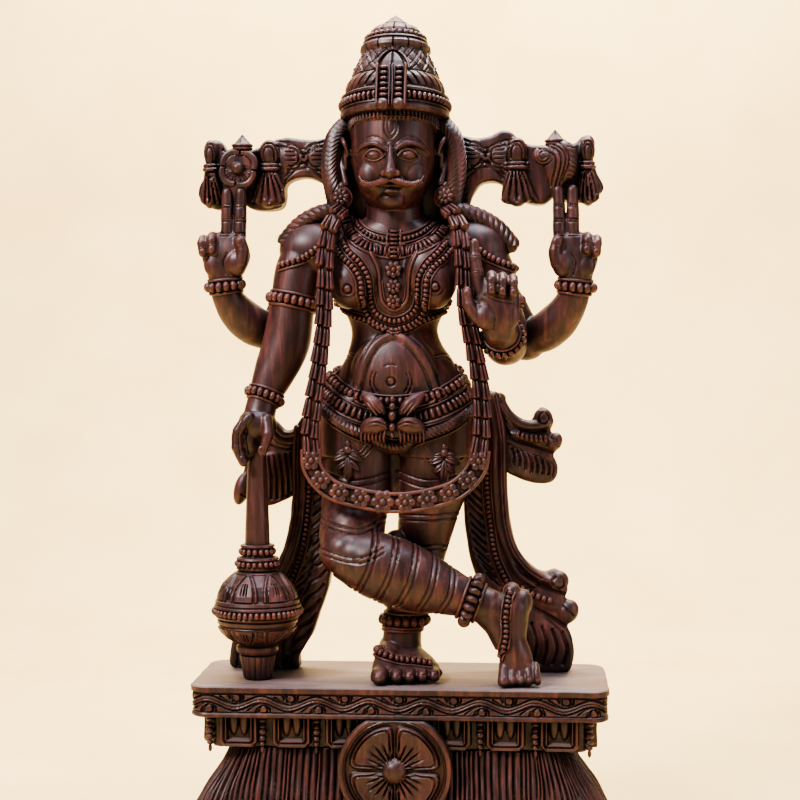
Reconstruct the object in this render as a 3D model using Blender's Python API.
"""Carved wooden four-armed guardian figure on a lotus pedestal.

The carving is an assembly of glued and dowelled blocks: a pedestal of four boards and turned-out
mouldings, and a figure whose head, crown, arms, legs, ribbons, scarves, garland and attributes are
separate pieces. Lengths in the tables are millimetres. The figure's tables use its own frame: x from
its centre line (+x is its left, the viewer's right), y from its middle plane (-y is the front) and z
above the plinth slab it stands on.
"""

import math

import bmesh
import bpy
from mathutils import Matrix, Vector

MM = 0.001

# Driving dimensions.
TOTAL_HEIGHT = 1214.0
BOARD_HALF_WIDTH = 315.0
BOARD_HALF_DEPTH = 125.0
BOARD_TOP = 40.0
BELL_TOP = 202.0
APRON_TOP = 247.0
SLAB_TOP = 290.0
SLAB_HALF_WIDTH = 286.0
SLAB_HALF_DEPTH = 101.0
FIGURE_X = -11.0
FIGURE_HEIGHT = TOTAL_HEIGHT - SLAB_TOP

# Joint planes of the figure, in its own frame.
JOINT_GAP = 0.4
HIP_Z = 325.0
NECK_Z = 640.0
SHOULDER_X = 82.0
ARM_SPLIT_Y = 18.0
ARM_SPLIT_X = 189.0
RIBBON_X = 80.0
RIBBON_FRONT_Y = 5.0
SCARF_FRONT_Y = 30.0
SCARF_BACK_Y = 60.0
CROWN_BASE = Vector((1.0, 0.0, 779.0))
CROWN_TILT = math.radians(6.5)
CROWN_HEIGHT = (FIGURE_HEIGHT - CROWN_BASE.z) / math.cos(CROWN_TILT)

# Attributes.
MACE_X = -188.0
MACE_Y = -38.0
MACE_COLLAR_Z = 187.0
SHAFT_GRIP_RADIUS = 12.5
DISCUS_CENTRE = (-217.0, -13.0, 711.0)
CONCH_CENTRE = (221.0, -13.0, 712.0)
MEDALLION_CENTRE = (-3.0, 180.0)
MEDALLION_RADIUS = 78.0
MEDALLION_PETALS = 4
APRON_PETALS_ACROSS = 7
APRON_PETALS_DEEP = 2

# Fineness and fits.
LIMB_SIDES = 8
PLINTH_SIDES = 20
DOWEL_SIDES = 8
BORE_CLEARANCE = 0.4
CARVE_GAP = 1.0
SMOOTH_ANGLE = math.radians(40.0)

UP = Vector((0.0, 0.0, 1.0))
BACK = Vector((0.0, 1.0, 0.0))


# ---- Materials ----

def material(name, colour, roughness, metallic=0.0):
    """A Principled BSDF material of one colour."""
    made = bpy.data.materials.new(name)
    made.use_nodes = True
    shader = made.node_tree.nodes["Principled BSDF"]
    shader.inputs["Base Color"].default_value = (*colour, 1.0)
    shader.inputs["Roughness"].default_value = roughness
    shader.inputs["Metallic"].default_value = metallic
    made.diffuse_color = (*colour, 1.0)
    return made


# ---- Solids ----

def new_object(name, mesh):
    made = bpy.data.objects.new(name, mesh)
    bpy.context.scene.collection.objects.link(made)
    return made


def solid_from_rings(name, rings):
    """A closed solid skinned over a list of point rings, flat at both ends."""
    form = bmesh.new()
    loops = [[form.verts.new(point) for point in ring] for ring in rings]
    for lower, upper in zip(loops, loops[1:]):
        for index in range(len(lower)):
            after = (index + 1) % len(lower)
            form.faces.new((lower[index], lower[after], upper[after], upper[index]))
    form.faces.new(list(reversed(loops[0])))
    form.faces.new(loops[-1])
    bmesh.ops.recalc_face_normals(form, faces=form.faces)
    mesh = bpy.data.meshes.new(name)
    form.to_mesh(mesh)
    form.free()
    return new_object(name, mesh)


def oval(angle, power):
    """A point of a unit superellipse; power 2 is round and a larger one is squarer."""
    cosine, sine = math.cos(angle), math.sin(angle)
    return (
        math.copysign(abs(cosine) ** (2.0 / power), cosine),
        math.copysign(abs(sine) ** (2.0 / power), sine),
    )


def limb(stations, sides=LIMB_SIDES, reference=BACK, power=2.0):
    """A tapering solid through stations of (x, y, z, half width, half depth).

    The half depth is measured along the reference direction, the half width across it.
    """
    centres = [Vector(station[:3]) for station in stations]
    rings = []
    for index, station in enumerate(stations):
        before = centres[max(index - 1, 0)]
        after = centres[min(index + 1, len(centres) - 1)]
        along = (after - before).normalized()
        depth = (reference - along * reference.dot(along)).normalized()
        width = depth.cross(along)
        ring = []
        for step in range(sides):
            across, deep = oval(2.0 * math.pi * (step + 0.5) / sides, power)
            ring.append((centres[index] + width * across * station[3] + depth * deep * station[4]) * MM)
        rings.append(ring)
    return solid_from_rings("limb", rings)


def ball(centre, radii, segments=8, rings=5):
    """An ellipsoid."""
    form = bmesh.new()
    place = Matrix.Translation(Vector(centre) * MM) @ Matrix.Diagonal((*(Vector(radii) * MM), 1.0))
    bmesh.ops.create_uvsphere(form, u_segments=segments, v_segments=rings, radius=1.0, matrix=place)
    mesh = bpy.data.meshes.new("ball")
    form.to_mesh(mesh)
    form.free()
    return new_object("ball", mesh)


def rod(start, end, radius, sides=DOWEL_SIDES, extra=0.0):
    """A straight round bar, lengthened by extra at both ends."""
    start, end = Vector(start), Vector(end)
    along = (end - start).normalized()
    reference = BACK if abs(along.y) < 0.9 else UP
    first, last = start - along * extra, end + along * extra
    return limb([(*first, radius, radius), (*last, radius, radius)], sides, reference)


def box(low, high):
    """A box between any two opposite corners."""
    form = bmesh.new()
    corners = [sorted(pair) for pair in zip(low, high)]
    low, high = Vector([pair[0] for pair in corners]), Vector([pair[1] for pair in corners])
    place = Matrix.Translation((low + high) / 2 * MM) @ Matrix.Diagonal((*((high - low) * MM), 1.0))
    bmesh.ops.create_cube(form, size=1.0, matrix=place)
    mesh = bpy.data.meshes.new("box")
    form.to_mesh(mesh)
    form.free()
    return new_object("box", mesh)


def board(outline, front, back):
    """An outline of (x, z) points extruded from the front to the back."""
    rings = [[Vector((x, y, z)) * MM for x, z in outline] for y in (front, back)]
    return solid_from_rings("board", rings)


def slice_between(low, high):
    """A slab across the whole figure, to cut it off level."""
    return box((-200.0, -150.0, low), (200.0, 150.0, high))


def turned(profile, sides=16):
    """A turned solid around the z axis, from (radius, z) points going up."""
    return limb([(0.0, 0.0, height, radius, radius) for radius, height in profile], sides)


def moulding(profile, sides, power):
    """An oblong moulding around the z axis, from (z, half width, half depth) points."""
    reach = oval(math.pi / sides, power)[0]
    levels = [(0.0, 0.0, height, width / reach, depth / reach) for height, width, depth in profile]
    return limb(levels, sides, BACK, power)


def moved(piece, matrix):
    piece.data.transform(matrix)
    return piece


# ---- Joining and cutting ----

def apply_modifiers(piece):
    """Replaces an object's mesh with the one that its modifiers give."""
    graph = bpy.context.evaluated_depsgraph_get()
    mesh = bpy.data.meshes.new_from_object(piece.evaluated_get(graph))
    piece.modifiers.clear()
    piece.data = mesh


def combined(piece, tools, operation, crossing_tools=False):
    """Applies one Boolean operation with each tool in turn, and removes the tools."""
    for tool in tools:
        step = piece.modifiers.new(operation.lower(), "BOOLEAN")
        step.operation = operation
        step.object = tool
        step.use_self = crossing_tools
        apply_modifiers(piece)
        bpy.data.objects.remove(tool)
    return piece


def joined(pieces):
    return combined(pieces[0], pieces[1:], "UNION")


def cut(piece, tools, crossing_tools=False):
    return combined(piece, tools, "DIFFERENCE", crossing_tools)


def keep_largest_body(piece):
    """Drops the chips that a cut has parted from the main body."""
    form = bmesh.new()
    form.from_mesh(piece.data)
    left = set(form.verts)
    bodies = []
    while left:
        body = {left.pop()}
        edge = list(body)
        while edge:
            near = {link.other_vert(vert) for vert in edge for link in vert.link_edges} - body
            body |= near
            edge = list(near)
        left -= body
        bodies.append(body)
    bodies.sort(key=len)
    for body in bodies[:-1]:
        bmesh.ops.delete(form, geom=list(body), context="VERTS")
    form.to_mesh(piece.data)
    form.free()


def carve(piece, neighbours, gap=CARVE_GAP):
    """Cuts a piece back from its neighbours, leaving a small gap."""
    for neighbour in neighbours:
        form = bmesh.new()
        form.from_mesh(neighbour.data)
        form.normal_update()
        for vert in form.verts:
            vert.co += vert.normal * gap * MM
        mesh = bpy.data.meshes.new("clearance")
        form.to_mesh(mesh)
        form.free()
        cut(piece, [new_object("clearance", mesh)], crossing_tools=True)
    keep_largest_body(piece)
    return piece


# ---- Pedestal, in the world frame ----

def make_base_board():
    return moulding(
        [
            (0.0, BOARD_HALF_WIDTH, BOARD_HALF_DEPTH),
            (24.0, BOARD_HALF_WIDTH, BOARD_HALF_DEPTH),
            (BOARD_TOP - JOINT_GAP, BOARD_HALF_WIDTH - 8.0, BOARD_HALF_DEPTH - 8.0),
        ],
        PLINTH_SIDES,
        7.0,
    )


def make_fluted_bell():
    """The flaring skirt under the petals; its flutes are surface carving."""
    return moulding(
        [
            (BOARD_TOP, 304.0, 114.0),
            (85.0, 295.0, 107.0),
            (135.0, 272.0, 94.0),
            (172.0, 246.0, 82.0),
            (BELL_TOP - JOINT_GAP, 232.0, 74.0),
        ],
        PLINTH_SIDES,
        6.0,
    )


def petal_tongues(half_width, half_depth, across, deep):
    """Plain tongues standing out all round a block, one for each lotus petal."""
    low, high, out, share = BELL_TOP + 4.0, APRON_TOP - 6.0, 6.0, 0.4
    tongues = []
    for side in (-1.0, 1.0):
        step = 2.0 * half_width / across
        for index in range(across):
            middle = -half_width + step * (index + 0.5)
            face = side * (half_depth + 14.0)
            tongues.append(box(
                (middle - step * share, face - out, low), (middle + step * share, face + out, high)
            ))
        step = 2.0 * half_depth / deep
        for index in range(deep):
            middle = -half_depth + step * (index + 0.5)
            face = side * (half_width + 18.0)
            tongues.append(box(
                (face - out, middle - step * share, low + 1.0), (
                    face + out, middle + step * share, high - 1.0,
                )
            ))
    return tongues


def make_petal_apron():
    """The row of square lotus petals under the slab."""
    core = moulding(
        [(BELL_TOP, 260.0, 78.0), (APRON_TOP - JOINT_GAP, 264.0, 82.0)],
        PLINTH_SIDES,
        9.0,
    )
    return joined([core] + petal_tongues(242.0, 65.0, APRON_PETALS_ACROSS, APRON_PETALS_DEEP))


def make_plinth_slab():
    """The slab that the figure stands on, with its frieze sunk between two fillets."""
    inset = 5.0
    return moulding(
        [
            (APRON_TOP, SLAB_HALF_WIDTH - 2.0, SLAB_HALF_DEPTH - 2.0),
            (APRON_TOP + 6.0, SLAB_HALF_WIDTH - inset, SLAB_HALF_DEPTH - inset),
            (SLAB_TOP - 10.0, SLAB_HALF_WIDTH - inset, SLAB_HALF_DEPTH - inset),
            (SLAB_TOP - 8.0, SLAB_HALF_WIDTH, SLAB_HALF_DEPTH),
            (SLAB_TOP, SLAB_HALF_WIDTH - 2.0, SLAB_HALF_DEPTH - 2.0),
        ],
        PLINTH_SIDES,
        8.0,
    )


def make_front_medallion():
    """The four-petalled flower under the slab: a disc, petals and a boss, cut flat at its top."""
    centre_x, centre_z = MEDALLION_CENTRE
    back, front = -84.0, -112.0
    pieces = [rod((centre_x, back, centre_z), (centre_x, front, centre_z), MEDALLION_RADIUS, 24)]
    reach = MEDALLION_RADIUS * 0.52
    for index in range(MEDALLION_PETALS):
        angle = 2.0 * math.pi * (index + 0.5) / MEDALLION_PETALS
        place = (centre_x + reach * math.cos(angle), front, centre_z + reach * math.sin(angle))
        pieces.append(ball(place, (31.0, 7.0, 31.0)))
    pieces.append(ball((centre_x, front, centre_z), (15.0, 11.0, 15.0)))
    flower = joined(pieces)
    top = APRON_TOP - JOINT_GAP
    return cut(flower, [box((-200.0, -200.0, top), (200.0, 0.0, top + 60.0))])


# ---- Figure, in its own frame ----

def make_torso():
    trunk = limb(
        [
            (5.0, 0.0, HIP_Z - 10.0, 103.0, 50.0),
            (5.0, 0.0, 365.0, 104.0, 52.0),
            (5.0, 0.0, 400.0, 98.0, 50.0),
            (3.0, 1.0, 435.0, 80.0, 46.0),
            (1.0, 2.0, 460.0, 66.0, 42.0),
            (0.0, 3.0, 485.0, 60.0, 40.0),
            (0.0, 3.0, 510.0, 74.0, 46.0),
            (0.0, 3.0, 540.0, 88.0, 50.0),
            (0.0, 4.0, 575.0, 100.0, 48.0),
            (0.0, 5.0, 605.0, 104.0, 44.0),
            (0.0, 5.0, 624.0, 84.0, 40.0),
            (0.0, 4.0, NECK_Z + 8.0, 42.0, 36.0),
        ],
        16,
    )
    pieces = [trunk]
    pieces.append(limb([(-104.0, 38.0, 600.0, 24.0, 17.0), (104.0, 38.0, 600.0, 24.0, 17.0)], 12, BACK, 3.0))
    for side in (-1.0, 1.0):
        pieces.append(limb(
            [
                (side * 40.0, -28.0, 540.0, 30.0, 32.0),
                (side * 46.0, -50.0, 541.0, 23.0, 24.0),
                (side * 50.0, -62.0, 543.0, 8.0, 8.0),
            ],
            10,
            UP,
        ))
    belt = [(5.0, 0.0, 352.0, 106.0, 54.0), (5.0, 0.0, 358.0, 109.0, 57.0), (5.0, 0.0, 384.0, 104.0, 56.0)]
    pieces.append(limb(belt + [(5.0, 0.0, 392.0, 99.0, 51.5)], 16))
    pieces.append(ball((2.0, -55.0, 368.0), (22.0, 11.0, 19.0)))
    torso = joined(pieces)
    trims = [
        box(
            (side * SHOULDER_X, -90.0, 500.0), (side * (SHOULDER_X + 60.0), 90.0, 660.0),
        ) for side in (-1.0, 1.0)
    ]
    trims.append(slice_between(HIP_Z - 40.0, HIP_Z + JOINT_GAP / 2))
    trims.append(slice_between(NECK_Z - JOINT_GAP / 2, NECK_Z + 40.0))
    return cut(torso, trims)


def make_head():
    face = limb(
        [
            (0.0, -34.0, 650.0, 15.0, 12.0),
            (0.0, -29.0, 661.0, 32.0, 28.0),
            (0.0, -20.0, 682.0, 48.0, 44.0),
            (0.0, -13.0, 708.0, 57.0, 54.0),
            (0.0, -8.0, 740.0, 60.0, 61.0),
            (0.0, -3.0, 770.0, 62.0, 63.0),
            (0.0, 0.0, 792.0, 62.0, 63.0),
        ],
        14,
    )
    neck = limb(
        [
            (0.0, 3.0, NECK_Z - 10.0, 42.0, 35.0), (0.0, 2.0, 665.0, 39.0, 35.0),
            (0.0, 0.0, 700.0, 44.0, 40.0),
        ],
        12,
    )
    hair = limb(
        [
            (0.0, 28.0, 648.0, 72.0, 22.0), (0.0, 27.0, 690.0, 84.0, 26.0), (0.0, 24.0, 770.0, 80.0, 32.0),
            (0.0, 22.0, 792.0, 74.0, 34.0),
        ],
        14, BACK, 3.0,
    )
    pieces = [face, neck, hair, ball((0.0, -68.0, 706.0), (9.0, 9.0, 15.0), 6, 4)]
    for side in (-1.0, 1.0):
        pieces.append(ball((side * 64.0, 0.0, 727.0), (9.0, 14.0, 26.0), 6, 4))
        pieces.append(
            limb([(side * 68.0, 14.0, 668.0, 13.0, 13.0), (side * 68.0, -16.0, 668.0, 13.0, 13.0)], 8, UP)
        )
    head = joined(pieces)
    tilt = Matrix.Translation(CROWN_BASE * MM) @ Matrix.Rotation(-CROWN_TILT, 4, "X")
    above = moved(box((-150.0, -150.0, -JOINT_GAP), (150.0, 150.0, 90.0)), tilt)
    sides = [
        box((side * RIBBON_X, -10.0, 640.0), (side * 140.0, 90.0, 830.0)) for side in (-1.0, 1.0)
    ]
    below = slice_between(NECK_Z - 40.0, NECK_Z + JOINT_GAP / 2)
    return cut(head, [above, below] + sides)


def make_crown():
    profile = [
        (72.0, 0.0), (77.0, 6.0), (77.0, 30.0), (66.0, 34.0), (64.0, 50.0), (57.0, 68.0), (45.0, 92.0),
        (46.0, 100.0), (41.0, 110.0), (29.0, 122.0), (15.0, 133.0), (2.0, CROWN_HEIGHT),
    ]
    cone = turned(profile)
    crest = limb(
        [(0.0, -69.0, 5.0, 21.0, 13.0), (0.0, -64.0, 30.0, 23.0, 14.0), (0.0, -56.0, 55.0, 20.0, 9.0)], 10,
        BACK, 3.0,
    )
    crown = joined([cone, crest])
    return moved(crown, Matrix.Translation(CROWN_BASE * MM) @ Matrix.Rotation(-CROWN_TILT, 4, "X"))


def make_garland():
    """The long garland: a strand from each shoulder, meeting in a band of flowers below the hips."""
    route = [
        (-70.0, -22.0, 650.0), (-84.0, -48.0, 628.0), (-88.0, -62.0, 590.0), (-90.0, -63.0, 525.0),
        (-96.0, -60.0, 457.0), (-106.0, -60.0, 388.0), (-112.0, -62.0, 333.0), (-107.0, -63.0, 299.0),
        (-84.0, -65.0, 270.0), (-42.0, -66.0, 254.0), (4.0, -67.0, 248.0), (54.0, -66.0, 255.0),
        (94.0, -65.0, 271.0), (117.0, -63.0, 300.0), (124.0, -62.0, 334.0), (124.0, -60.0, 389.0),
        (114.0, -58.0, 457.0), (101.0, -58.0, 525.0), (97.0, -58.0, 592.0), (90.0, -46.0, 630.0),
        (74.0, -22.0, 650.0),
    ]
    return limb([(*point, 9.5, 7.5) for point in route], 8, BACK, 3.0)


def shin_point(along):
    """A point of the crossed shin's middle line, from the knee (0) to the ankle (1)."""
    knee, ankle = Vector((-50.0, -54.0, 172.0)), Vector((112.0, -56.0, 114.0))
    return knee.lerp(ankle, along)


def make_standing_leg():
    leg = limb(
        [
            (9.0, 8.0, 6.0, 24.0, 27.0),
            (9.0, 8.0, 22.0, 23.0, 25.0),
            (9.0, 7.0, 45.0, 21.0, 22.0),
            (13.0, 8.0, 75.0, 23.0, 24.0),
            (20.0, 10.0, 106.0, 29.0, 29.0),
            (32.0, 12.0, 150.0, 33.0, 32.0),
            (40.0, 12.0, 190.0, 37.0, 35.0),
            (46.0, 9.0, 225.0, 42.0, 38.0),
            (53.0, 4.0, 276.0, 52.0, 46.0),
            (54.0, 0.0, HIP_Z + 10.0, 53.0, 48.0),
        ],
        12,
    )
    anklet = limb([(9.0, 7.0, 44.0, 29.0, 29.0), (10.0, 7.0, 68.0, 29.0, 29.0)], 12)
    foot = limb(
        [
            (9.0, 32.0, 14.0, 16.0, 10.0),
            (9.0, 20.0, 18.0, 22.0, 17.0),
            (12.0, -8.0, 20.0, 27.0, 19.0),
            (20.0, -34.0, 16.0, 36.0, 15.0),
            (26.0, -58.0, 11.0, 46.0, 10.0),
        ],
        10,
        UP,
        2.6,
    )
    pieces = [leg, anklet, foot]
    for index in range(5):
        place = (-11.0 + 17.5 * index, -64.0 + 2.5 * index, 8.6)
        pieces.append(ball(place, (10.0, 16.0, 8.0), 6, 4))
    leg = joined(pieces)
    inner = box((-120.0, -120.0, 208.0), (0.2, 120.0, 340.0))
    below = box((-100.0, -150.0, -20.0), (150.0, 150.0, JOINT_GAP))
    above = slice_between(HIP_Z - JOINT_GAP / 2, HIP_Z + 40.0)
    return cut(leg, [inner, below, above])


def make_crossed_leg(standing_leg):
    thigh = limb(
        [
            (-56.0, -44.0, 165.0, 34.0, 30.0),
            (-57.0, -36.0, 186.0, 43.0, 40.0),
            (-56.0, -14.0, 222.0, 45.0, 43.0),
            (-51.0, -2.0, 276.0, 49.0, 46.0),
            (-49.0, 0.0, HIP_Z + 10.0, 49.0, 48.0),
        ],
        12,
    )
    widths = [
        (-0.12, 34.0, 32.0), (0.1, 44.0, 40.0), (0.45, 46.0, 40.0), (0.7, 37.0, 33.0), (0.88, 29.0, 27.0),
        (1.15, 25.0, 24.0),
    ]
    shin = limb([(*shin_point(along), wide, deep) for along, wide, deep in widths], 12)
    anklet = limb([(*shin_point(0.92), 36.0, 34.0), (*shin_point(1.06), 36.0, 34.0)], 12)
    foot = limb(
        [
            (168.0, -56.0, 124.0, 14.0, 14.0),
            (163.0, -55.0, 110.0, 26.0, 24.0),
            (166.0, -55.0, 72.0, 22.0, 22.0),
            (169.0, -60.0, 38.0, 24.0, 19.0),
            (172.0, -66.0, 12.0, 24.0, 16.0),
        ],
        10,
    )
    instep = limb([(128.0, -56.0, 108.0, 24.0, 22.0), (160.0, -55.0, 100.0, 22.0, 21.0)], 10)
    pieces = [thigh, shin, anklet, foot, instep]
    for index in range(4):
        pieces.append(ball((156.0 + 12.5 * index, -80.0 + 1.5 * index, 8.6), (7.5, 11.0, 8.0), 6, 4))
    leg = joined(pieces)
    inner = box((-0.2, -150.0, 208.0), (120.0, 120.0, 340.0))
    below = box((100.0, -150.0, -20.0), (250.0, 150.0, JOINT_GAP))
    above = slice_between(HIP_Z - JOINT_GAP / 2, HIP_Z + 40.0)
    return carve(cut(leg, [inner, below, above]), [standing_leg])


def ring_around(centre, along, radius, depth_radius, half_height, sides=12):
    """A bracelet: a short thick ring of beads, here its plain envelope."""
    along = Vector(along).normalized() * half_height
    middle = Vector(centre)
    first, last = middle - along, middle + along
    return limb([(*first, radius, depth_radius), (*last, radius, depth_radius)], sides)


def make_mace_arm():
    """The lower right arm, its fist closed on the top of the mace's shaft."""
    shoulder = ball((-112.0, -2.0, 596.0), (48.0, 40.0, 40.0), 10, 6)
    arm = limb(
        [
            (-118.0, -3.0, 604.0, 30.0, 32.0),
            (-131.0, -6.0, 572.0, 31.0, 32.0),
            (-140.0, -12.0, 524.0, 30.0, 31.0),
            (-152.0, -16.0, 464.0, 32.0, 30.0),
            (-171.0, -24.0, 415.0, 27.0, 25.0),
            (-180.0, -32.0, 388.0, 21.0, 20.0),
            (-188.0, -38.0, 362.0, 22.0, 20.0),
        ],
    )
    armlet = ring_around((-140.0, -11.0, 524.0), (-10.0, -5.0, -48.0), 36.0, 35.0, 10.0)
    bracelet = ring_around((-179.0, -31.0, 392.0), (-9.0, -8.0, -27.0), 26.0, 25.0, 8.0)
    palm = ball((MACE_X, -42.0, 350.0), (28.0, 25.0, 24.0))
    pieces = [shoulder, arm, armlet, bracelet, palm]
    for index in range(4):
        deep, shift, thick = -61.0 + 12.5 * index, 0.9 * index, 7.8 - 0.35 * index
        pieces.append(limb(
            [
                (-202.0 + shift, deep, 357.0 - shift, thick, thick),
                (-211.0 + shift, deep + 0.4, 336.0, thick, thick),
                (-210.0 + shift, deep + 0.8, 303.0 + 3.0 * index, thick - 1.6, thick - 1.6),
            ],
            7,
        ))
    pieces.append(
        limb(
            [
                (-170.0, -52.0, 360.0, 9.0, 9.0), (-168.0, -60.0, 340.0, 9.0, 8.0),
                (-172.0, -62.0, 318.0, 7.0, 7.0),
            ],
            6,
        )
    )
    arm = joined(pieces)
    shaft_bore = rod((MACE_X, MACE_Y, 250.0), (MACE_X, MACE_Y, 354.0), SHAFT_GRIP_RADIUS + 0.6, 12)
    body_side = box((-SHOULDER_X - JOINT_GAP, -90.0, 500.0), (0.0, 90.0, 680.0))
    behind = box((-200.0, ARM_SPLIT_Y, 400.0), (0.0, 90.0, 680.0))
    arm = cut(arm, [shaft_bore, body_side, behind])
    keep_largest_body(arm)
    return arm


def make_gesture_arm():
    """The lower left arm, its forefinger raised before the chest."""
    shoulder = ball((112.0, -2.0, 596.0), (48.0, 40.0, 40.0), 10, 6)
    upper = limb(
        [
            (118.0, -3.0, 604.0, 30.0, 32.0),
            (134.0, -4.0, 570.0, 31.0, 32.0),
            (146.0, -6.0, 520.0, 30.0, 31.0),
            (155.0, -10.0, 478.0, 30.0, 29.0),
            (157.0, -14.0, 455.0, 24.0, 24.0),
        ],
    )
    fore = limb(
        [
            (157.0, -2.0, 462.0, 26.0, 25.0), (156.0, -22.0, 466.0, 28.0, 27.0),
            (153.0, -52.0, 474.0, 24.0, 23.0), (150.0, -74.0, 486.0, 21.0, 20.0),
        ],
        10,
        UP,
    )
    bracelet = limb([(153.0, -52.0, 474.0, 28.0, 27.0), (151.0, -66.0, 480.0, 28.0, 27.0)], 12, UP)
    palm = limb(
        [
            (150.0, -78.0, 474.0, 22.0, 14.0), (147.0, -82.0, 500.0, 29.0, 15.0),
            (143.0, -84.0, 532.0, 30.0, 13.0), (142.0, -84.0, 548.0, 26.0, 11.0),
        ],
        10,
    )
    pieces = [shoulder, upper, fore, bracelet, palm]
    pieces.append(
        limb(
            [
                (119.0, -84.0, 528.0, 9.0, 9.0), (116.0, -84.0, 560.0, 8.5, 8.5),
                (114.0, -83.0, 590.0, 7.5, 7.5), (113.5, -83.0, 601.0, 4.0, 4.0),
            ],
            6,
        )
    )
    for index in range(3):
        pieces.append(
            ball(
                (135.0 + 14.0 * index, -92.0 + index, 550.0 - 1.7 * index), (8.8 - 0.4 * index, 12.0, 13.0),
                6, 4,
            )
        )
    pieces.append(
        limb(
            [
                (124.0, -90.0, 492.0, 9.0, 9.0), (110.0, -93.0, 512.0, 8.5, 8.5),
                (107.0, -92.0, 544.0, 6.0, 6.0),
            ],
            6,
        )
    )
    arm = joined(pieces)
    body_side = box((0.0, -120.0, 400.0), (SHOULDER_X + JOINT_GAP, 90.0, 680.0))
    behind = box((0.0, ARM_SPLIT_Y, 400.0), (200.0, 90.0, 680.0))
    arm = cut(arm, [body_side, behind])
    keep_largest_body(arm)
    return arm


def make_back_arm(side, elbow, wrist):
    """An upper arm: it goes out behind the lower one, bends up and holds two fingers raised."""
    bend, hold = Vector(elbow), Vector(wrist)
    upper = limb(
        [
            (side * 70.0, 40.0, 600.0, 22.0, 17.0), (side * 118.0, 42.0, 582.0, 26.0, 20.0),
            (side * 150.0, 42.0, 530.0, 27.0, 22.0), (*bend, 28.0, 25.0),
        ]
    )
    middle = bend.lerp(hold, 0.42) + Vector((side * 8.0, 0.0, -12.0))
    elbow_ball = ball(bend + Vector((side * 2.0, 0.0, -1.0)), (29.0, 26.0, 27.0), 10, 6)
    fore = limb(
        [
            (*(bend + Vector((side * 3.0, -2.0, 1.0))), 25.0, 23.0), (*middle, 28.0, 25.0),
            (*hold, 21.0, 19.0), (*(hold + Vector((0.0, -4.0, 20.0))), 22.0, 16.0),
        ]
    )
    bracelet = ring_around(hold, (side * 0.1, -0.1, 1.0), 33.0, 27.0, 10.0)
    root = hold + Vector((side * 1.0, -5.0, 20.0))
    palm = limb(
        [
            (*root, 24.0, 15.0), (*(root + Vector((0.0, -1.0, 22.0))), 31.0, 16.0),
            (*(root + Vector((0.0, -2.0, 42.0))), 28.0, 13.0),
        ]
    )
    pieces = [upper, elbow_ball, fore, bracelet, palm]
    tip_z = DISCUS_CENTRE[2] - 31.0
    for base_x, tip_x in ((0.0, 1.0), (20.0, 29.0)):
        start = root + Vector((-side * (base_x - 4.0), -3.0, 36.0))
        tip = Vector((root.x - side * (tip_x - 4.0), start.y, tip_z))
        pieces.append(limb([(*start, 9.0, 9.0), (*start.lerp(tip, 0.5), 8.0, 8.0), (*tip, 6.0, 6.0)], 6))
    for base_x, drop in ((12.0, 0.0), (25.0, 3.0)):
        place = root + Vector((side * base_x, -13.0 + drop / 2.0, 40.0 - drop))
        pieces.append(ball(place, (8.8 - drop / 6.0, 11.0, 11.0), 6, 4))
    thumb = root + Vector((-side * 22.0, -15.0, 14.0))
    pieces.append(limb([(*thumb, 8.0, 8.0), (*(thumb + Vector((-side * 2.0, 0.0, 30.0))), 6.0, 6.0)], 6))
    arm = joined(pieces)
    body_side = box((side * (SHOULDER_X + JOINT_GAP), -90.0, 480.0), (0.0, 120.0, 680.0))
    ahead = box((0.0, -90.0, 440.0), (side * ARM_SPLIT_X, ARM_SPLIT_Y + JOINT_GAP, 680.0))
    return cut(arm, [body_side, ahead])


def make_ribbon(side):
    """The carved ribbon from behind the head to the attribute, with its two tassels."""
    outline = [
        (RIBBON_X + JOINT_GAP, 759.0), (100.0, 754.0), (134.0, 754.0), (156.0, 760.0), (174.0, 750.0),
        (197.0, 739.0), (236.0, 739.0), (252.0, 750.0), (266.0, 753.0), (274.0, 742.0), (272.0, 712.0),
        (285.0, 684.0), (276.0, 668.0), (252.0, 658.0), (226.0, 670.0), (207.0, 658.0), (180.0, 657.0),
        (159.0, 667.0), (150.0, 690.0), (130.0, 698.0), (114.0, 694.0), (98.0, 678.0),
        (RIBBON_X + JOINT_GAP, 660.0),
    ]
    outline = [(side * x, z) for x, z in outline]
    return board(outline, RIBBON_FRONT_Y, RIBBON_FRONT_Y + 38.0)


def make_discus():
    """A small four-lobed wheel with a finial, flat behind."""
    x, _, z = DISCUS_CENTRE
    back = RIBBON_FRONT_Y - JOINT_GAP
    pieces = [rod((x, back, z), (x, back - 24.0, z), 27.5, 16)]
    pieces.append(ball((x, back - 26.0, z), (9.0, 8.0, 9.0), 6, 4))
    pieces.append(
        limb(
            [
                (x, -10.0, z + 22.0, 14.0, 12.0), (x, -10.0, z + 34.0, 14.0, 12.0),
                (x, -10.0, z + 47.0, 3.0, 3.0),
            ],
            10,
        )
    )
    discus = joined(pieces)
    return cut(discus, [box((x - 60.0, back, z - 60.0), (x + 60.0, back + 40.0, z + 80.0))])


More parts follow.
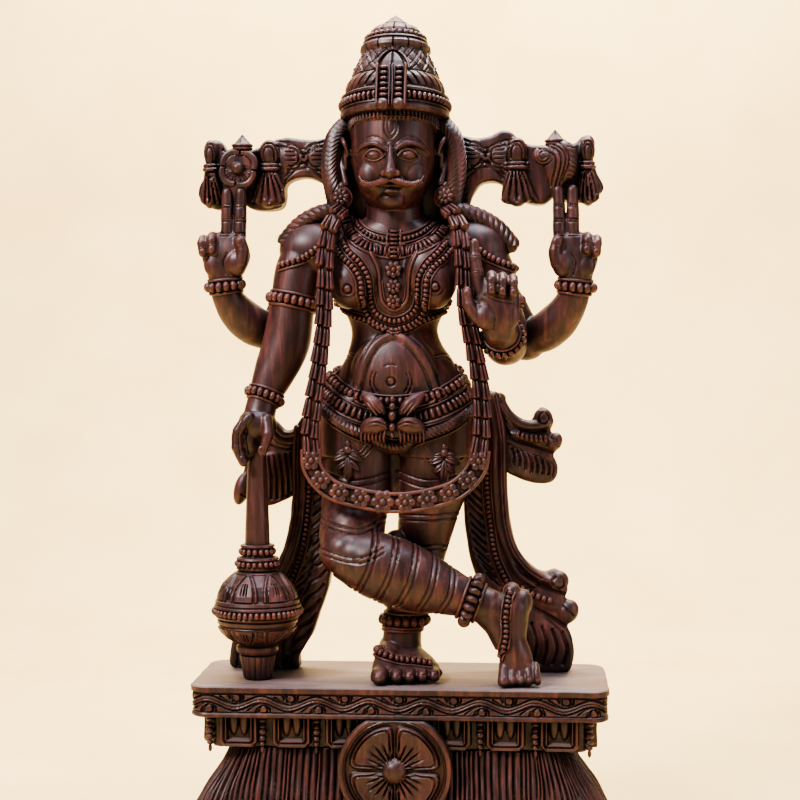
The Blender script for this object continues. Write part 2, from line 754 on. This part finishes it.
def make_conch():
    """A conch shell standing on its spout, with a finial, flat behind."""
    x, _, z = CONCH_CENTRE
    back = RIBBON_FRONT_Y - JOINT_GAP
    shell = limb(
        [
            (x, -9.0, z - 28.0, 8.0, 8.0), (x, -11.0, z - 14.0, 20.0, 14.0), (x, -12.0, z + 4.0, 29.0, 17.0),
            (x, -11.0, z + 20.0, 22.0, 14.0), (x, -10.0, z + 29.0, 8.0, 8.0),
        ],
        12,
    )
    finial = limb(
        [(x, -10.0, z + 22.0, 12.0, 11.0), (x, -10.0, z + 36.0, 13.0, 11.0), (x, -10.0, z + 49.0, 3.0, 3.0)],
        10,
    )
    conch = joined([shell, finial])
    return cut(conch, [box((x - 60.0, back, z - 60.0), (x + 60.0, back + 40.0, z + 80.0))])


def make_mace_shaft():
    """The tapering shaft, from the mace's collar up into the closed fist."""
    profile = [
        (18.0, MACE_COLLAR_Z + JOINT_GAP), (16.5, 230.0), (14.0, 280.0), (SHAFT_GRIP_RADIUS, 298.0),
        (SHAFT_GRIP_RADIUS, 348.0), (10.0, 351.0),
    ]
    return moved(turned(profile, 12), Matrix.Translation(Vector((MACE_X, MACE_Y, 0.0)) * MM))


def make_mace_head():
    """The turned head of the mace, standing on its short foot."""
    profile = [
        (
            18.0, JOINT_GAP,
        ), (24.5, 23.0), (28.0, 30.0), (28.0, 38.0), (38.0, 46.0), (50.0, 62.0), (57.0, 72.0),
        (60.0, 82.0), (60.0, 97.0), (
            58.0, 104.0,
        ), (52.0, 114.0), (48.0, 124.0), (40.0, 136.0), (29.5, 144.0),
        (31.0, 149.0), (31.0, 164.0), (24.0, 168.0), (24.0, MACE_COLLAR_Z),
    ]
    return moved(turned(profile), Matrix.Translation(Vector((MACE_X, MACE_Y, 0.0)) * MM))


def make_right_scarf():
    """The cloth falling behind the mace to the slab."""
    outline = [
        (-91.0, 350.0), (-135.0, 348.0), (-150.0, 318.0), (-149.0, 270.0), (-147.0, 240.0), (-147.0, 200.0),
        (-150.0, 143.0), (-176.0, 104.0), (-214.0, 74.0), (-236.0, 44.0), (
            -234.0, JOINT_GAP,
        ), (-141.0, JOINT_GAP),
        (-122.0, 52.0), (-100.0, 114.0), (-93.0, 150.0), (-93.0, 230.0), (-92.0, 300.0),
    ]
    return board(outline, SCARF_FRONT_Y, SCARF_BACK_Y)


def make_left_scarf():
    """The cloth falling past the crossed foot to the slab, with a curled edge."""
    outline = [
        (101.0, 394.0), (128.0, 402.0), (150.0, 390.0), (158.0, 330.0), (158.0, 245.0), (170.0, 182.0),
        (190.0, 153.0), (211.0, 142.0), (228.0, 144.0), (243.0, 130.0), (241.0, 106.0), (254.0, 96.0),
        (256.0, 82.0), (244.0, 65.0), (252.0, 40.0), (244.0, JOINT_GAP), (184.0, JOINT_GAP), (160.0, 60.0),
        (128.0, 106.0), (106.0, 155.0), (99.0, 201.0), (97.0, 250.0), (100.0, 330.0),
    ]
    return board(outline, SCARF_FRONT_Y, SCARF_BACK_Y)


def make_right_scarf_tail():
    outline = [
        (-150.6, 330.0), (-162.0, 342.0), (-176.0, 352.0), (-189.0, 368.0), (-205.0, 360.0), (-212.0, 330.0),
        (-222.0, 300.0), (-232.0, 262.0), (-222.0, 236.0), (-196.0, 226.0), (-176.0, 244.0), (-150.6, 262.0),
    ]
    return board(outline, SCARF_FRONT_Y + 4.0, SCARF_BACK_Y - 6.0)


def make_left_scarf_tail():
    outline = [
        (158.6, 378.0), (168.0, 366.0), (182.0, 360.0), (190.0, 374.0), (204.0, 383.0), (219.0, 374.0),
        (220.0, 358.0), (236.0, 342.0), (234.0, 326.0), (222.0, 312.0), (230.0, 290.0), (222.0, 270.0),
        (188.0, 274.0), (158.6, 286.0),
    ]
    return board(outline, SCARF_FRONT_Y + 4.0, SCARF_BACK_Y - 6.0)


# ---- Assembly ----

def finish(piece, name, look, parent=None):
    """Names a piece, gives it its material, smooths its shading and parents it."""
    piece.name = name
    piece.data.name = name
    piece.data.materials.clear()
    piece.data.materials.append(look)
    piece.data.shade_smooth()
    piece.data.set_sharp_from_angle(angle=SMOOTH_ANGLE)
    piece.parent = parent
    return piece


def add_dowel(name, start, end, radius, hosts, look, parent=None):
    """A hidden dowel, and its bore in each piece that it joins."""
    for host in hosts:
        cut(host, [rod(start, end, radius + BORE_CLEARANCE, DOWEL_SIDES, 1.0)])
    finish(rod(start, end, radius), name, look, parent)


def add_base_screw(name, x, y, base_board, bell, look):
    """A countersunk screw from under the board into the bell."""
    head_z, neck_z, tip_z = 1.0, 6.0, 78.0

    def form(grow):
        low, high = head_z - grow * 3.0, tip_z + grow
        return limb(
            [
                (x, y, low, 8.0 + 3.0 * grow, 8.0 + 3.0 * grow), (x, y, neck_z, 4.0 + grow, 4.0 + grow),
                (x, y, high, 4.0 + grow, 4.0 + grow),
            ],
            DOWEL_SIDES,
        )

    for host in (base_board, bell):
        cut(host, [form(BORE_CLEARANCE)])
    finish(form(0.0), name, look)


def build():
    for old in list(bpy.data.objects):
        bpy.data.objects.remove(old)
    carved = material("carved_wood", (0.085, 0.03, 0.019), 0.42)
    plinth_wood = material("pedestal_wood", (0.095, 0.038, 0.026), 0.5)
    dowel_wood = material("dowel_wood", (0.42, 0.27, 0.15), 0.6)
    steel = material("screw_steel", (0.55, 0.54, 0.52), 0.35, 1.0)

    figure = bpy.data.objects.new("figure", None)
    bpy.context.scene.collection.objects.link(figure)
    figure.location = Vector((FIGURE_X, 0.0, SLAB_TOP)) * MM

    base_board = make_base_board()
    bell = make_fluted_bell()
    apron = make_petal_apron()
    slab = make_plinth_slab()
    medallion = make_front_medallion()
    for host in (bell, apron):
        carve(host, [medallion], 0.6)

    torso = make_torso()
    head = make_head()
    crown = make_crown()
    standing_leg = make_standing_leg()
    crossed_leg = make_crossed_leg(standing_leg)
    mace_arm = make_mace_arm()
    gesture_arm = make_gesture_arm()
    discus_arm = make_back_arm(-1.0, (-170.0, 38.0, 478.0), (-238.0, -5.0, 546.0))
    conch_arm = make_back_arm(1.0, (182.0, 37.0, 470.0), (252.0, -5.0, 544.0))
    right_ribbon = make_ribbon(-1.0)
    left_ribbon = make_ribbon(1.0)
    discus = make_discus()
    conch = make_conch()
    mace_shaft = make_mace_shaft()
    mace_head = make_mace_head()
    garland = carve(make_garland(), [torso, head, mace_arm, gesture_arm])
    right_scarf = make_right_scarf()
    left_scarf = make_left_scarf()
    right_tail = make_right_scarf_tail()
    left_tail = make_left_scarf_tail()

    slab_in_figure = Matrix.Translation(-figure.location)
    moved(slab, slab_in_figure)
    crown_up = Matrix.Rotation(-CROWN_TILT, 3, "X") @ UP
    dowels = [
        ("crown_dowel", CROWN_BASE - crown_up * 24.0, CROWN_BASE + crown_up * 24.0, 8.0, (head, crown)),
        ("neck_dowel", (0.0, 3.0, NECK_Z - 26.0), (0.0, 3.0, NECK_Z + 26.0), 9.0, (torso, head)),
        ("mace_arm_dowel", (-62.0, -6.0, 592.0), (-106.0, -6.0, 592.0), 8.0, (torso, mace_arm)),
        ("gesture_arm_dowel", (62.0, -6.0, 592.0), (106.0, -6.0, 592.0), 8.0, (torso, gesture_arm)),
        ("discus_arm_dowel", (-64.0, 38.0, 597.0), (-102.0, 38.0, 597.0), 6.0, (torso, discus_arm)),
        ("conch_arm_dowel", (64.0, 38.0, 597.0), (102.0, 38.0, 597.0), 6.0, (torso, conch_arm)),
        (
            "right_hip_dowel", (-46.0, 0.0, HIP_Z - 26.0), (-46.0, 0.0, HIP_Z + 26.0), 9.0,
            (torso, crossed_leg),
        ),
        ("left_hip_dowel", (54.0, 2.0, HIP_Z - 26.0), (54.0, 2.0, HIP_Z + 26.0), 9.0, (torso, standing_leg)),
        ("standing_foot_dowel", (9.0, 8.0, -26.0), (9.0, 8.0, 30.0), 6.0, (slab, standing_leg)),
        ("crossed_foot_dowel", (170.0, -64.0, -26.0), (170.0, -60.0, 28.0), 4.0, (slab, crossed_leg)),
        ("mace_foot_dowel", (MACE_X, MACE_Y, -26.0), (MACE_X, MACE_Y, 28.0), 6.0, (slab, mace_head)),
        ("mace_shaft_dowel", (MACE_X, MACE_Y, 160.0), (MACE_X, MACE_Y, 214.0), 5.0, (mace_head, mace_shaft)),
        ("right_ribbon_dowel", (-58.0, 26.0, 724.0), (-104.0, 26.0, 724.0), 6.0, (head, right_ribbon)),
        ("left_ribbon_dowel", (58.0, 26.0, 724.0), (104.0, 26.0, 724.0), 6.0, (head, left_ribbon)),
        (
            "discus_dowel", (DISCUS_CENTRE[0], -12.0, 711.0), (DISCUS_CENTRE[0], 22.0, 711.0), 4.0,
            (discus, right_ribbon),
        ),
        (
            "conch_dowel", (CONCH_CENTRE[0], -10.0, 712.0), (CONCH_CENTRE[0], 22.0, 712.0), 4.0,
            (conch, left_ribbon),
        ),
        ("right_scarf_dowel", (-192.0, 45.0, -26.0), (-192.0, 45.0, 26.0), 6.0, (slab, right_scarf)),
        ("left_scarf_dowel", (214.0, 45.0, -26.0), (214.0, 45.0, 26.0), 6.0, (slab, left_scarf)),
        ("right_scarf_peg", (-66.0, 37.0, 338.0), (-116.0, 37.0, 338.0), 3.5, (torso, right_scarf)),
        ("left_scarf_peg", (76.0, 37.0, 338.0), (126.0, 37.0, 338.0), 3.5, (torso, left_scarf)),
        ("right_tail_dowel", (-136.0, 44.0, 296.0), (-168.0, 44.0, 296.0), 5.0, (right_scarf, right_tail)),
        ("left_tail_dowel", (142.0, 44.0, 324.0), (174.0, 44.0, 324.0), 5.0, (left_scarf, left_tail)),
        ("right_garland_peg", (-50.0, -64.0, 257.0), (-50.0, -34.0, 257.0), 2.5, (garland, crossed_leg)),
        ("left_garland_peg", (54.0, -64.0, 256.0), (54.0, -28.0, 256.0), 2.5, (garland, standing_leg)),
    ]
    for name, start, end, radius, hosts in dowels:
        add_dowel(name, start, end, radius, hosts, dowel_wood, figure)
    moved(slab, slab_in_figure.inverted())

    centre_x, centre_z = MEDALLION_CENTRE
    add_dowel(
        "medallion_dowel", (centre_x, -102.0, 170.0), (centre_x, -52.0, 170.0), 8.0, (medallion, bell),
        dowel_wood,
    )
    for name, x in (("pedestal_dowel_right", -180.0), ("pedestal_dowel_left", 180.0)):
        add_dowel(name, (x, 0.0, 150.0), (x, 0.0, 272.0), 9.0, (bell, apron, slab), dowel_wood)
    for index, (x, y) in enumerate(((-250.0, -60.0), (250.0, -60.0), (-250.0, 60.0), (250.0, 60.0)), 1):
        add_base_screw(f"base_screw_{index}", x, y, base_board, bell, steel)

    pedestal = {
        "base_board": base_board, "fluted_bell": bell, "petal_apron": apron, "plinth_slab": slab,
        "front_medallion": medallion,
    }
    for name, piece in pedestal.items():
        finish(piece, name, plinth_wood)
    pieces = {
        "torso": torso, "head": head, "crown": crown,
        "standing_leg": standing_leg, "crossed_leg": crossed_leg,
        "mace_arm": mace_arm, "gesture_arm": gesture_arm, "discus_arm": discus_arm, "conch_arm": conch_arm,
        "right_ribbon": right_ribbon, "left_ribbon": left_ribbon, "discus": discus, "conch": conch,
        "mace_shaft": mace_shaft, "mace_head": mace_head, "garland": garland, "right_scarf": right_scarf,
        "left_scarf": left_scarf, "right_scarf_tail": right_tail, "left_scarf_tail": left_tail,
    }
    for name, piece in pieces.items():
        finish(piece, name, carved, figure)


build()
